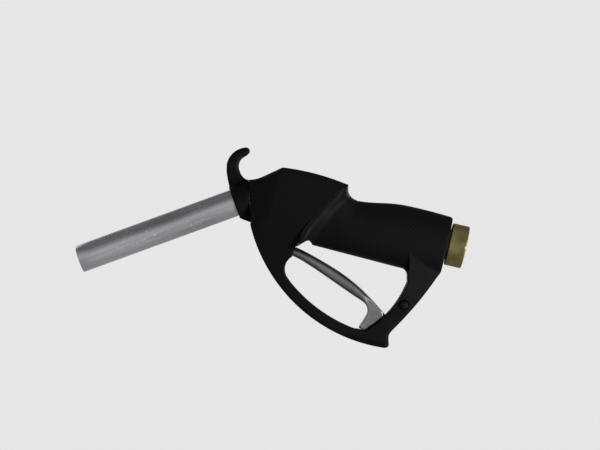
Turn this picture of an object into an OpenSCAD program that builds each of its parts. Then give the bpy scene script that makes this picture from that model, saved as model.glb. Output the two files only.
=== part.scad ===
// Hand-held fuel nozzle with a guarded lever, a hold-open latch and a swivelling inlet.
// Frame: the origin is the centre of the inlet's mouth, +X runs out of the mouth,
// +Z is up and the spout points towards -X and down. All sizes are in millimetres.

/* [Inlet swivel] */
// Outside diameter of the brass ring
swivel_d = 39.6; // [37:0.1:40]
// Bore of the inlet's female thread
thread_d = 30.3; // [30.1:0.1:30.5]
// Length of the brass ring that shows behind the grip
swivel_len = 15.8; // [15.4:0.1:16]
// Waterway through the swivel
swivel_way_d = 21.4; // [21:0.1:22]

/* [Spout] */
// Outside diameter of the spout
spout_d = 25.4; // [24.6:0.1:25.6]
// Wall of the spout
spout_wall = 1.8; // [1.2:0.1:2.5]
// Length of spout in front of the collar
spout_len = 153.5; // [100:0.5:200]
// Width of the hanging hook
hook_w = 9.5; // [7:0.5:12]

/* [Covers] */
// Half thickness of the head
head_half = 24.5; // [22:0.1:25]
// Half thickness of the grip
grip_half = 20; // [19.6:0.1:21]
// Half thickness of the guard
guard_half = 10; // [10:0.1:11]
// Wall of the two covers
cover_wall = 2.6; // [2.2:0.1:2.8]

/* [Lever] */
// Width of the lever
lever_w = 16; // [13:0.5:16]
// Thickness of the tongue that runs in the rear leg
tongue_w = 5; // [4:0.1:5.2]

/* [Valve] */
// Stem diameter
stem_d = 6; // [5.8:0.1:6]
// Bore of the valve seat
seat_bore_d = 18; // [14:0.5:19]

/* [Output] */
// Which sub-part to build

/* [Hidden] */
$fn = 96;

eps = 0.1;         // how far a cutter runs past the face it cuts
slip = 0.05;       // radial clearance of a running fit
gap = 0.4;         // clearance between pieces that pass each other

// Inlet tube and swivel, all about the X axis.
grip_end_x = -17.4;
body_end_x = -20;
socket_r = 14;
socket_end_x = -45;
spigot_r = socket_r - slip;
spigot_end_x = -44.6;
tube_r = 16;
tube_end_r = 16.8;
tube_way_r = 10.5;
thread_end_x = -12;
washer_seat_x = -14.6;
washer_t = 2;
washer_r = 14.9;
swivel_ring_x = -26;           // where the retaining ring sits
swivel_seal_x = [-32.5, -39];  // where the two O-rings sit
seal_wire_r = 0.85;

// Valve chamber, about a vertical axis.
chamber_x = -161;
chamber_r = 18.5;
chamber_bottom_z = -19;
chamber_top_z = 28;
floor_z = -14;
seat_z = 11;
seat_h = 3.5;
lower_cavity_r = 12.5;
seat_r = 13.5;
upper_cavity_r = 15;
cap_top_z = 31.2;
spring_top_z = 29.6;
poppet_r = 11.5;
poppet_z = seat_z + seat_h + 2;
poppet_t = 2.5;
gland_r = 5.35;
gland_bottom_z = -23;
stem_r = stem_d / 2;
stem_bottom_z = -33.95;
stem_top_z = 24;

// Spout, about an axis that leans down towards -X.
spout_slope = 33;
spout_zero_x = -206.7;         // where the spout's axis crosses the inlet's axis
spout_r = spout_d / 2;
root_r = spout_r - 0.2;        // the spout is turned down where it sits in the nose
nose_s = 14;                   // distances along the spout's axis from that crossing
spout_seat_s = 1;
spout_tip_s = nose_s + spout_len;
neck_r = 12;
neck_way_r = 9.5;
neck_start_s = -36;
neck_way_start_s = -29.8;
nose_socket_r = 14.8;
nose_socket_end_s = nose_s - 2.3;
collar_r = 16.2;
collar_bore_r = nose_socket_r + 0.1;
set_screw_s = 9.3;
set_screw_r = 2.45;

// Lever, pivot and latch.
pivot = [-177, -37];
pivot_r = 3;
lug_y = [8.4, 12.4];
lever_half = lever_w / 2;
tongue_angles = [-22.9, -18.7];
tongue_end_r = 133.5;
slot_angles = [-24.2, -4.6];
slot_half = tongue_w / 2 + 0.5;
latch_at = [-44, -64.4];
latch_shaft_r = 2.4;
latch_collar_r = 4.2;
latch_collar_y = [-6.2, -3.2];
latch_wall_y = [-7.6, -6.4];
button_r = 4.35;
button_y = [-14.6, -10.8];

// Screws that hold the covers, each driven from the right side.
screw_at = [
  [-189, -24.4], [-127, 24.6], [-175, -49.4], [-129, -87.4], [-61, -101.9], [-32, -38.4], [-74, -23.4]
];
screw_head_y = [4, 6.4];
screw_r = 1.9;
boss_r = 4.5;

// ---------- helpers ----------

// Points on an arc, from angle a0 to angle a1 in n steps.
function arc(centre, r, a0, a1, n = 12) =
  [for (i = [0 : n]) centre + r * [cos(a0 + (a1 - a0) * i / n), sin(a0 + (a1 - a0) * i / n)]];

// Stands a side view (x, z) up as a plate between two values of y.
module side_plate(y0, y1) {
  translate([0, y1, 0])
    rotate([90, 0, 0])
      linear_extrude(y1 - y0)
        children();
}

// Runs a section (y, z) along X between two values of x.
module along_x(x0, x1) {
  translate([x0, 0, 0])
    rotate([90, 0, 90])
      linear_extrude(x1 - x0)
        children();
}

module rod_x(r, x0, x1) {
  translate([x0, 0, 0])
    rotate([0, 90, 0])
      cylinder(r = r, h = x1 - x0);
}

module rod_y(at, r, y0, y1) {
  translate([at[0], y0, at[1]])
    rotate([-90, 0, 0])
      cylinder(r = r, h = y1 - y0);
}

module rod_z(r, z0, z1, x = chamber_x) {
  translate([x, 0, z0])
    cylinder(r = r, h = z1 - z0);
}

// Local Z runs along the spout and local X is the upper side of the spout.
module on_spout() {
  translate([spout_zero_x, 0, 0])
    rotate([0, -90 - spout_slope, 0])
      children();
}

module spout_rod(r, s0, s1) {
  on_spout()
    translate([0, 0, s0])
      cylinder(r = r, h = s1 - s0);
}

module ring_section(r, wire_r) {
  rotate_extrude()
    translate([r, 0])
      circle(r = wire_r, $fn = 32);
}

// A coil spring along +Z, from z = 0 to z = height.
module coil(r, wire_r, height, turns) {
  per_turn = 20;
  sides = 8;
  steps = per_turn * turns;
  rise = height - 2 * wire_r;
  points = [
    for (i = [0 : steps], j = [0 : sides - 1])
      let (turn = 360 * i / per_turn, side = 360 * j / sides, reach = r + wire_r * cos(side))
        [reach * cos(turn), reach * sin(turn), wire_r + rise * i / steps + wire_r * sin(side)]
  ];
  tube = [
    for (i = [0 : steps - 1], j = [0 : sides - 1])
      let (a = i * sides + j, b = i * sides + (j + 1) % sides)
        [a, a + sides, b + sides, b]
  ];
  start_cap = [[for (j = [0 : sides - 1]) j]];
  end_cap = [[for (j = [sides - 1 : -1 : 0]) steps * sides + j]];
  polyhedron(points = points, faces = concat(tube, start_cap, end_cap), convexity = 8);
}

// ---------- outlines of the covers, as side views (x, z) ----------

bow_centre = [-64.3, 42.4];
bow_outer_r = 150.5;
bow_inner_r = 140.1;
leg_inner_centre = [-132, -30.4];
leg_inner_r = 87.4;
groove_top = [-210.2, 16.1];
groove_bottom = [-198.9, -21.6];

neck_top = [[-204, 18.3], [-199, 21.3], [-189, 28.9]];
head_top = arc([-158, -184.4], 220, 96.3, 80.3);
head_back = concat([[-119.6, 31.6]], arc([-108, 31.1], 11.2, 182, 270, 8));
grip_top = [
  [-98, 20.7], [-88, 22.5], [-79, 24.2], [-70, 25.4], [-58, 26], [-38, 25.8], [-20.4, 24.9], [-18, 22.8]
];
grip_rear = [[grip_end_x, 19.5], [grip_end_x, -26.5], [-19.2, -31.6]];
leg_outer = arc([-315.3, 82], 317, -21.6, -32.9, 8);
heel = [[-50.9, -94], [-51, -96.6], [-49.3, -103], [-49.7, -105.7], [-52.2, -107.6]];
bow_outer = arc(bow_centre, bow_outer_r, -86, -153.6, 32);

cover_outline = concat(
  [groove_top], neck_top, head_top, head_back, grip_top, grip_rear, leg_outer, heel, bow_outer,
  [groove_bottom]
);

arch = [[-139, -29.6], [-141.2, -27.2], [-143, -26.2], [-145, -26.8], [-151.8, -33.2], [-154, -34.6]];
guard_opening = concat(
  arch,
  arc([-145.5, -54.2], 13.7, 134, 222, 8),
  arc(bow_centre, bow_inner_r, -128.6, -96.3, 18),
  [[-73.4, -96.9], [-71.4, -94.9]],
  arc(leg_inner_centre, leg_inner_r, -45.6, -8, 16),
  arc([-53.5, -38.9], 7, 0, 84, 6)
);

// Where the flat head plate stops: everything behind this line is the round grip.
head_plate = [
  [-215, -120], [-215, 40], [-118, 40], [-118, 26], [-129, 23.6], [-136, 12.1], [-142.5, -0.4],
  [-148, -11.4], [-151, -22.4], [-154, -34], [-154, -50], [-120, -120]
];

head_cavity = [
  [-200.5, -18], [-205, 2], [-205, 10], [-199, 15.5], [-188, 24.5], [-181.5, 31.6], [-158, 32.8],
  [-137, 31.8], [-136, 22], [-141, 8], [-148, -5], [-151, -14], [-152.8, -27], [-157, -36],
  [-161, -46], [-165, -60], [-173, -57], [-188, -38], [-195.5, -25]
];

// ---------- covers ----------

module grip_section(half, shrink) {
  low = -31.9 + shrink;
  high = 26.2 - shrink;
  round_r = half - 2.5;
  polygon(concat(
    arc([half - round_r, high - round_r], round_r, 0, 90),
    arc([round_r - half, high - round_r], round_r, 90, 180),
    arc([round_r - half, low + round_r], round_r, 180, 270),
    arc([half - round_r, low + round_r], round_r, 270, 360)
  ));
}

// Section of the head and the front arm: full width above, slimmer towards the bow.
module head_section(shrink) {
  wide = head_half - shrink;
  slim = guard_half - shrink;
  chamfer = 4;
  top = 36;
  polygon([
    [-slim, -112], [-slim, -66], [-wide, -24], [-wide, top - chamfer], [chamfer - wide, top],
    [wide - chamfer, top], [wide, top - chamfer], [wide, -24], [slim, -66], [slim, -112]
  ]);
}

// Plan of the head: it narrows forwards to the round nose.
module head_plan(shrink) {
  wide = head_half - shrink;
  nose = 16.4 - shrink;
  polygon([
    [-216, -nose], [-206, -nose], [-184, -wide], [-100, -wide],
    [-100, wide], [-184, wide], [-206, nose], [-216, nose]
  ]);
}

// The head's outside, or with a shrink its inside, before the side view is cut from it.
module head_form(shrink) {
  intersection() {
    along_x(-215, -100)
      head_section(shrink);
    translate([0, 0, -120])
      linear_extrude(170)
        head_plan(shrink);
  }
}

module leg_section() {
  polygon([
    [-guard_half, -112], [-guard_half, -60], [-15, -20], [15, -20], [guard_half, -60], [guard_half, -112]
  ]);
}

module cover_solid() {
  intersection() {
    side_plate(-head_half, head_half)
      polygon(cover_outline);
    union() {
      intersection() {
        side_plate(-head_half, head_half)
          polygon(head_plate);
        head_form(0);
      }
      along_x(-152, -10)
        grip_section(grip_half, 0);
      along_x(-162, -10)
        leg_section();
    }
  }
}

module cover_cavity() {
  intersection() {
    side_plate(-head_half, head_half)
      polygon(head_cavity);
    head_form(cover_wall + 0.4);
  }
  grip_cavity(-154, -23, 16.6);
  grip_cavity(-136, -26.4, 16.6);
  grip_cavity(-76, -28, 22);
  rod_x(tube_end_r + gap, -48, grip_end_x + eps);
  spout_rod(neck_r + 0.3, -40, 3);
  spout_rod(nose_socket_r + 0.3, -gap, 12);
  bow_channel();
}

// A stretch of the grip's hollow from x0 to its rear wall, between two heights.
module grip_cavity(x0, low, high) {
  along_x(x0, grip_end_x - cover_wall)
    intersection() {
      grip_section(grip_half - cover_wall, cover_wall);
      translate([-head_half, low])
        square([2 * head_half, high - low]);
    }
}

// The hollow of the bow, closed at both ends.
module bow_channel() {
  channel_half = guard_half - cover_wall;
  side_plate(-channel_half, channel_half)
    polygon(concat(
      arc(bow_centre, bow_outer_r - cover_wall, -92, -134, 16),
      arc(bow_centre, bow_inner_r + cover_wall, -134, -92, 16)
    ));
}

// The room in which the lever's front end moves.
module lever_channel() {
  channel_half = lever_half + 0.8;
  side_plate(-channel_half, channel_half)
    polygon([
      [-185.5, -44.5], [-185.5, -27], [-143, -22.8], [-141, -27], [-149, -34], [-153, -46], [-168.5, -46]
    ]);
}

module sector(r0, r1, a0, a1) {
  polygon(concat(arc(pivot, r0, a0, a1, 8), arc(pivot, r1, a1, a0, 8)));
}

// The slot in the rear leg that the lever's tongue runs in, and the latch's bores beside it.
module leg_slot() {
  side_plate(-slot_half, slot_half)
    sector(117, tongue_end_r + 0.7, slot_angles[0], slot_angles[1]);
}

module latch_bores() {
  rod_y(latch_at, latch_collar_r + 0.3, latch_wall_y[1], 0.6);
  rod_y(latch_at, latch_shaft_r + slip, latch_wall_y[0] - eps, latch_wall_y[1] + eps);
  rod_y(latch_at, button_r + 0.3, -head_half, latch_wall_y[0]);
}

module screw_bosses() {
  for (at = screw_at)
    rod_y(at, boss_r, -head_half, head_half);
}

module screw_holes() {
  for (at = screw_at) {
    rod_y(at, screw_r + slip, -7.5, screw_head_y[0] + eps);
    rod_y(at, 3.9, screw_head_y[0], head_half + eps);
  }
}

module hollow_cover() {
  difference() {
    cover_solid();
    side_plate(-head_half - eps, head_half + eps)
      polygon(guard_opening);
    difference() {
      cover_cavity();
      screw_bosses();
    }
    lever_channel();
    leg_slot();
    latch_bores();
    screw_holes();
  }
}

module half_space(y0, y1) {
  translate([-240, y0, -120])
    cube([260, y1 - y0, 180]);
}

module cover_left() {
  color([0.07, 0.07, 0.08])
    intersection() {
      hollow_cover();
      half_space(-40, -0.02);
    }
}

module cover_right() {
  color([0.08, 0.08, 0.09])
    intersection() {
      hollow_cover();
      half_space(0.02, 40);
    }
}

module cover_screws() {
  color([0.45, 0.45, 0.48])
    for (at = screw_at)
      difference() {
        union() {
          rod_y(at, screw_r, -6.8, screw_head_y[0]);
          rod_y(at, 3.6, screw_head_y[0], screw_head_y[1]);
        }
        for (turn = [0, 90])
          translate([at[0], screw_head_y[1], at[1]])
            rotate([0, turn, 0])
              cube([4, 2.4, 0.9], center = true);
      }
}

// ---------- valve body ----------

module lever_lugs() {
  for (side = [-1, 1])
    side_plate(min(side * lug_y), max(side * lug_y))
      difference() {
        union() {
          polygon([[-183, -37], [-179, -13], [-163, -13], [-163, -19], [-171, -37]]);
          translate(pivot)
            circle(r = 6.4);
        }
        translate(pivot)
          circle(r = pivot_r + slip);
      }
}

module body_outside() {
  rod_x(tube_r, chamber_x, -46);
  rod_x(tube_end_r, -48, body_end_x);
  rod_z(chamber_r, chamber_bottom_z, chamber_top_z);
  rod_z(8, gland_bottom_z, chamber_bottom_z + 1);
  spout_rod(neck_r, neck_start_s, 1);
  spout_rod(nose_socket_r, 0, nose_socket_end_s);
  lever_lugs();
}

module body_ways() {
  rod_x(tube_way_r, chamber_x, body_end_x + eps);
  rod_x(socket_r, socket_end_x, body_end_x + eps);
  translate([swivel_ring_x, 0, 0])
    rotate([0, 90, 0])
      ring_section(socket_r, 0.95);
  rod_z(lower_cavity_r, floor_z, seat_z + eps);
  rod_z(seat_r, seat_z, seat_z + seat_h + eps);
  rod_z(upper_cavity_r, seat_z + seat_h, chamber_top_z + eps);
  rod_z(stem_r + slip, gland_bottom_z - eps, floor_z + eps);
  rod_z(gland_r, gland_bottom_z - eps, floor_z - 1);
  translate([0, 0, 21])
    rod_x(6.2, chamber_x - 25, chamber_x);
  spout_rod(neck_way_r, neck_way_start_s, 1 + eps);
  spout_rod(root_r + slip, spout_seat_s, nose_socket_end_s + eps);
  on_spout()
    translate([0, 0, 4])
      ring_section(root_r + slip + 0.65, 0.75);
  set_screw_hole(set_screw_r + 0.02);
}

module set_screw_hole(r) {
  on_spout()
    translate([0, 0, set_screw_s])
      rotate([0, -90, 0])
        cylinder(r = r, h = 24);
}

module valve_body() {
  color([0.62, 0.63, 0.65])
    difference() {
      body_outside();
      body_ways();
    }
}

// ---------- hook collar and spout ----------

hook_outline = concat(
  [[-222, 6], [-225.4, 3.2], [-228.6, 10.4], [-232.4, 19.4]],
  arc([-214, 26.3], 19.5, 184, 107),
  arc([-218.7, 41.8], 3.5, 98, -47, 8),
  arc([-212, 28.6], 10.3, 120, 222, 10),
  [[-215.5, 17.2], [-211.6, 15.7], groove_top - [1, 0], [-204, 0]]
);

collar_boss = [[-208, -12], [-210, -21.2], [-209.2, -22], [-199.6, -22], [-199.6, -19], [-200, -12]];

module hook_collar() {
  color([0.06, 0.06, 0.07])
    difference() {
      union() {
        spout_rod(collar_r, -12, nose_s);
        side_plate(-hook_w / 2, hook_w / 2)
          polygon(hook_outline);
        side_plate(-6, 6)
          polygon(collar_boss);
      }
      spout_rod(collar_bore_r, -20, nose_socket_end_s + 0.1);
      spout_rod(spout_r + 0.2, 0, nose_s + eps);
      set_screw_hole(set_screw_r + 0.3);
      side_plate(-head_half, head_half)
        polygon([
          groove_top + [-gap, 0], groove_top + [-gap - 9, 30], [-170, 46], [-170, -40],
          groove_bottom + [-gap + 6, -20], groove_bottom + [-gap, 0]
        ]);
    }
}

module spout_set_screw() {
  color([0.35, 0.35, 0.37])
    on_spout()
      translate([0, 0, set_screw_s])
        rotate([0, -90, 0])
          difference() {
            translate([0, 0, root_r + 0.02])
              cylinder(r = set_screw_r, h = 5.8);
            translate([0, 0, root_r + 3.4])
              cylinder(r = 1.45, h = 4, $fn = 6);
          }
}

module spout_tube() {
  color([0.72, 0.72, 0.74])
    on_spout()
      rotate_extrude()
        polygon(concat(
          [[spout_r - spout_wall, spout_seat_s], [root_r - 0.4, spout_seat_s], [root_r, spout_seat_s + 0.4]],
          [[root_r, nose_s + 0.6], [spout_r, nose_s + 0.8]],
          [[spout_r, spout_tip_s - 0.5], [spout_r - 0.5, spout_tip_s]],
          [[spout_r - spout_wall, spout_tip_s]]
        ));
}

module spout_o_ring() {
  color([0.05, 0.05, 0.05])
    on_spout()
      translate([0, 0, 4])
        ring_section(root_r + 0.7, 0.69);
}

// ---------- valve ----------

module valve_seat() {
  color([0.72, 0.6, 0.3])
    difference() {
      rod_z(seat_r, seat_z, seat_z + seat_h);
      rod_z(seat_bore_d / 2, seat_z - eps, seat_z + seat_h + eps);
    }
}

module valve_poppet() {
  color([0.72, 0.6, 0.3])
    difference() {
      union() {
        rod_z(poppet_r, poppet_z, poppet_z + poppet_t);
        rod_z(5, seat_z + seat_h - 1, poppet_z);
      }
      rod_z(stem_r, seat_z, poppet_z + poppet_t + eps);
    }
}

module valve_seal() {
  color([0.08, 0.08, 0.08])
    difference() {
      rod_z(poppet_r - 0.3, seat_z + seat_h + slip, poppet_z);
      rod_z(5, seat_z, poppet_z + eps);
    }
}

module poppet_nut() {
  color([0.6, 0.6, 0.62])
    difference() {
      translate([chamber_x, 0, poppet_z + poppet_t])
        cylinder(r = 5.77, h = 3.2, $fn = 6);
      rod_z(stem_r, poppet_z, poppet_z + 8);
    }
}

module valve_stem() {
  color([0.7, 0.7, 0.72])
    translate([chamber_x, 0, 0])
      rotate_extrude()
        polygon([
          [0, stem_bottom_z], [stem_r - 1, stem_bottom_z], [stem_r, stem_bottom_z + 1],
          [stem_r, stem_top_z - 0.6], [stem_r - 0.6, stem_top_z], [0, stem_top_z]
        ]);
}

module valve_spring() {
  spring_z = poppet_z + poppet_t;
  color([0.5, 0.5, 0.52])
    translate([chamber_x, 0, spring_z])
      coil(9, 0.8, spring_top_z - spring_z, 4);
}

module chamber_cap() {
  plug_z = chamber_top_z - 3;
  color([0.6, 0.61, 0.63])
    difference() {
      union() {
        rod_z(chamber_r, chamber_top_z, cap_top_z);
        rod_z(upper_cavity_r - 0.1, plug_z, chamber_top_z);
      }
      rod_z(11, plug_z - eps, spring_top_z);
      translate([chamber_x, 0, chamber_top_z - 1.5])
        ring_section(upper_cavity_r - seal_wire_r, seal_wire_r + 0.02);
      translate([chamber_x, 0, cap_top_z])
        cylinder(r = 6, h = 2, center = true, $fn = 6);
    }
}

module cap_o_ring() {
  color([0.05, 0.05, 0.05])
    translate([chamber_x, 0, chamber_top_z - 1.5])
      ring_section(upper_cavity_r - seal_wire_r - 0.01, seal_wire_r);
}

module gland_nut() {
  color([0.72, 0.6, 0.3])
    difference() {
      union() {
        rod_z(gland_r, gland_bottom_z, gland_bottom_z + 2.6);
        translate([chamber_x, 0, gland_bottom_z - 2.4])
          cylinder(r = 7.5, h = 2.4, $fn = 6);
      }
      rod_z(stem_r + slip, gland_bottom_z - 3, gland_bottom_z + 3);
    }
}

module stem_o_rings() {
  wire_r = (gland_r - stem_r - slip) / 2;
  color([0.05, 0.05, 0.05])
    for (level = [0.05, 1.05])
      translate([chamber_x, 0, floor_z - 1 - wire_r - level * 2 * wire_r])
        ring_section(stem_r + slip + wire_r, wire_r);
}

// ---------- inlet swivel ----------

module inlet_swivel() {
  r = swivel_d / 2;
  color([0.6, 0.55, 0.3])
    difference() {
      union() {
        rotate([0, 90, 0])
          rotate_extrude()
            polygon([
              [0, -swivel_len], [r - 0.6, -swivel_len], [r, 0.6 - swivel_len], [r, -0.6],
              [r - 0.6, 0], [0, 0]
            ]);
        rod_x(spigot_r, spigot_end_x, -swivel_len + eps);
      }
      rod_x(swivel_way_d / 2, spigot_end_x - eps, eps);
      rod_x(washer_r + 0.05, washer_seat_x, eps);
      rod_x(thread_d / 2, thread_end_x, eps);
      for (x = swivel_seal_x)
        translate([x, 0, 0])
          rotate([0, 90, 0])
            ring_section(spigot_r - seal_wire_r + 0.02, seal_wire_r + 0.02);
      translate([swivel_ring_x, 0, 0])
        rotate([0, 90, 0])
          ring_section(socket_r, 1.1);
      for (side = [-1, 1])
        translate([0, side * swivel_d / 2, 0])
          cube([2.4, 6, 2.5], center = true);
    }
}

module swivel_o_rings() {
  color([0.05, 0.05, 0.05])
    for (x = swivel_seal_x)
      translate([x, 0, 0])
        rotate([0, 90, 0])
          ring_section(spigot_r - seal_wire_r + 0.02, seal_wire_r);
}

module swivel_retaining_ring() {
  color([0.6, 0.6, 0.62])
    translate([swivel_ring_x, 0, 0])
      rotate([0, 90, 0])
        ring_section(socket_r, 0.93);
}

module inlet_washer() {
  color([0.1, 0.1, 0.1])
    difference() {
      rod_x(washer_r, washer_seat_x, washer_seat_x + washer_t);
      rod_x(swivel_way_d / 2, washer_seat_x - eps, washer_seat_x + washer_t + eps);
    }
}

// A basket with a flange that is clamped on the washer.
module inlet_strainer() {
  basket_r = swivel_way_d / 2 - 0.9;
  basket_end_x = -34;
  flange_x = washer_seat_x + washer_t;
  color([0.75, 0.75, 0.77])
    difference() {
      union() {
        rod_x(washer_r, flange_x, thread_end_x);
        rod_x(basket_r, basket_end_x, thread_end_x);
      }
      rod_x(basket_r - 0.8, basket_end_x + 0.8, thread_end_x + eps);
      for (row = [0 : 3], turn = [0 : 45 : 315])
        translate([-29.5 + 4 * row, 0, 0])
          rotate([turn, 0, 0])
            translate([0, 0, basket_r - 2])
              cylinder(r = 1.3, h = 4, $fn = 24);
    }
}

// ---------- lever ----------

foot_right = arc(leg_inner_centre, leg_inner_r - gap, -44.6, -31.8, 6);
lever_outline = concat(
  [[-161, -35], [-154, -34.9], [-145, -36.6], [-133, -40.1], [-121, -43.9], [-109, -48.1]],
  [[-97, -53.2], [-85, -59.4], [-72, -67.6]],
  [for (i = [6 : -1 : 0]) foot_right[i]],
  [[-72.6, -94.9], [-78, -95.3], [-80, -94]],
  [[-77, -86], [-75.4, -80], [-75.5, -76.6], [-77.4, -73], [-81, -70.5], [-91, -66.9]],
  [[-103, -62.2], [-115, -57.4], [-127, -52.6], [-139, -48], [-149, -44.7], [-156, -43.4]],
  [[-168, -43], [-177, -43]]
);

// The same outline with its long sides drawn in, for the lever's rounded flanks.
lever_flank = concat(
  [[-161, -35.4], [-153, -36.2], [-145, -38.1], [-133, -41.6], [-121, -45.4], [-109, -49.6]],
  [[-97, -54.7], [-85, -60.9], [-72, -69.2], [-61.5, -75.8], [-71, -91.4], [-73, -93.4], [-77.6, -93.8]],
  [[-75.4, -86], [-73.8, -80], [-73.9, -76], [-76, -71.7], [-80.4, -69], [-91, -65.4], [-103, -60.7]],
  [[-115, -55.9], [-127, -51.1], [-139, -46.5], [-149, -43.2], [-156, -41.9], [-168, -41.6], [-177, -41.6]]
);

module lever() {
  core_half = lever_half - 2.2;
  tongue_half = tongue_w / 2;
  color([0.45, 0.45, 0.46])
    difference() {
      union() {
        side_plate(-core_half, core_half)
          polygon(lever_outline);
        side_plate(-lever_half, lever_half)
          polygon(lever_flank);
        rod_y(pivot, 6, -lever_half, lever_half);
        rod_y([chamber_x, pivot[1]], 3, -core_half, core_half);
        side_plate(-tongue_half, tongue_half)
          sector(117, tongue_end_r, tongue_angles[0], tongue_angles[1]);
      }
      rod_y(pivot, pivot_r + slip, -lever_half - eps, lever_half + eps);
    }
}

module lever_pin() {
  color([0.6, 0.6, 0.62])
    difference() {
      union() {
        rod_y(pivot, pivot_r, -lug_y[1], 14.6);
        rod_y(pivot, 4.2, -lug_y[1] - 1.4, -lug_y[1]);
      }
      difference() {
        rod_y(pivot, 5, lug_y[1] + 0.3, lug_y[1] + 1.3);
        rod_y(pivot, 2.3, lug_y[1] + 0.2, lug_y[1] + 1.4);
      }
    }
}

module lever_pin_clip() {
  color([0.3, 0.3, 0.32])
    difference() {
      rod_y(pivot, 4.6, lug_y[1] + 0.35, lug_y[1] + 1.25);
      rod_y(pivot, 2.35, lug_y[1], lug_y[1] + 2);
      translate([pivot[0] - 1.6, lug_y[1], pivot[1] - 6])
        cube([3.2, 2, 6]);
    }
}

// ---------- hold-open latch ----------

module latch_pin() {
  color([0.6, 0.6, 0.62])
    union() {
      rod_y(latch_at, latch_shaft_r, button_y[0] + 1.4, latch_collar_y[1]);
      rod_y(latch_at, latch_collar_r, latch_collar_y[0], latch_collar_y[1]);
    }
}

module latch_button() {
  roof_y = button_y[0] + 1.4;
  color([0.06, 0.06, 0.07])
    translate([latch_at[0], 0, latch_at[1]])
      rotate([-90, 0, 0])
        rotate_extrude()
          polygon(concat(
            [[0, roof_y], [button_r - 0.6, roof_y], [button_r - 0.6, button_y[1]], [button_r, button_y[1]]],
            [[button_r, button_y[0] + 1.6]],
            [for (p = arc([button_r - 1.6, button_y[0] + 1.6], 1.6, -15, -90, 5)) p],
            [[0, button_y[0]]]
          ));
}

module latch_spring() {
  color([0.5, 0.5, 0.52])
    translate([latch_at[0], latch_wall_y[0] - 0.05, latch_at[1]])
      rotate([90, 0, 0])
        coil(3.1, 0.3, 5.4, 4);
}

// ---------- output ----------

valve_body();
cover_left();
cover_right();
cover_screws();
hook_collar();
spout_set_screw();
spout_tube();
spout_o_ring();
valve_seat();
valve_poppet();
valve_seal();
poppet_nut();
valve_stem();
valve_spring();
chamber_cap();
cap_o_ring();
gland_nut();
stem_o_rings();
inlet_swivel();
swivel_o_rings();
swivel_retaining_ring();
inlet_washer();
inlet_strainer();
lever();
lever_pin();
lever_pin_clip();
latch_pin();
latch_button();
latch_spring();
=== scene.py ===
import math

import bpy
import numpy as np
from mathutils import Matrix, Vector
from mathutils.geometry import delaunay_2d_cdt


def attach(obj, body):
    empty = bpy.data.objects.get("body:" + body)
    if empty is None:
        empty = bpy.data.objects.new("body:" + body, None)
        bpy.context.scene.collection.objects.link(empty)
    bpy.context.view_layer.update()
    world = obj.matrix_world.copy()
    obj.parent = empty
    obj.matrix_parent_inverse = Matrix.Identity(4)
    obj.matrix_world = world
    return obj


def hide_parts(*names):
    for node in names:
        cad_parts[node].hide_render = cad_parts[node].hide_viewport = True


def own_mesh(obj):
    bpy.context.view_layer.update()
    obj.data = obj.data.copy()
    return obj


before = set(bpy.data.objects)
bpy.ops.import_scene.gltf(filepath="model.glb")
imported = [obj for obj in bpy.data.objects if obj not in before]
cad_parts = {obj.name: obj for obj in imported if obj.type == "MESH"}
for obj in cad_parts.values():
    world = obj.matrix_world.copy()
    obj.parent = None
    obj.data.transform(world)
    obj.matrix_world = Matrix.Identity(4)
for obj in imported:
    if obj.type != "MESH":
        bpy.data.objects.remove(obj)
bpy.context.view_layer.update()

MM = 0.001

# Sizes below are in millimetres, in the part's own frame. Side views are (x, z).
HEAD_HALF = 24.5
GRIP_HALF = 20.0
GUARD_HALF = 10.0
LEVER_HALF = 8.0
LEVER_CLEARANCE = 0.8
HOOK_HALF = 4.75
HOOK_ROOT_EXTRA = 2.2
WALL = 2.8
HOLLOW_DEPTH = 3.4
SEAM = 0.04
GROOVE_GAP = 0.4

# The spout and its collar are given by s, the distance along the spout's axis, and a radius.
SPOUT_ZERO = np.array([-206.7, 0.0])
SPOUT_SLOPE = math.radians(33)
SPOUT_OUT = np.array([-math.cos(SPOUT_SLOPE), -math.sin(SPOUT_SLOPE)])
SPOUT_UP = np.array([-math.sin(SPOUT_SLOPE), math.cos(SPOUT_SLOPE)])
NOSE_S = 14.0
SPOUT_ROOT_R = 12.5
SPOUT_TIP_S = 167.5
SPOUT_R = 12.7
SPOUT_BORE_R = 10.9
COLLAR_R = 16.2
COLLAR_BORE_R = 14.9
BOSS_HALF = 6.0

PIVOT = np.array([-177.0, -37.0])
PIVOT_HOLE_R = 3.05
PIVOT_BOSS_R = 6.1
TONGUE_HALF = 2.5
SLOT_HALF = 3.0
LATCH_AT = np.array([-44.0, -64.4])
LATCH_BORE_R = 2.5
LATCH_POCKET_R = 4.65
LATCH_POCKET_Y = 7.6
LATCH_FLOOR_Y = 6.4
LATCH_SOCKET_Y = 1.4
LATCH_SPRING_Y = -7.65
BUTTON_R = 4.35
BUTTON_DOME = 2.0
SCREW_AT = np.array([
    [-189.0, -24.4], [-127.0, 24.6], [-175.0, -49.4], [-129.0, -87.4],
    [-61.0, -101.9], [-32.0, -38.4], [-74.0, -23.4],
])
SCREW_RECESS_R = 4.0
SCREW_SEAT_Y = 4.1
CROSS_HALF = 0.42
CROSS_R = 2.2
CROSS_FLOOR_Y = 5.1

SWIVEL_R = 19.8
SWIVEL_BACK = -15.8
SWIVEL_BORE_R = 10.7
SPIGOT_R = 13.9
THREAD_R = 15.15
THREAD_DEPTH = 1.35
THREAD_PITCH = 2.309
THREAD_START = -1.4
THREAD_LENGTH = 10.4
SPANNER_SLOT_DEPTH = 1.3
SPANNER_SLOT_HALF = 1.3

VALVE_X = -161.0
VALVE_SPRING_LOW = 19.05
VALVE_SPRING_TOP = 29.6


# ---------- side-view outlines ----------

SAME_POINT = 0.15


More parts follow.
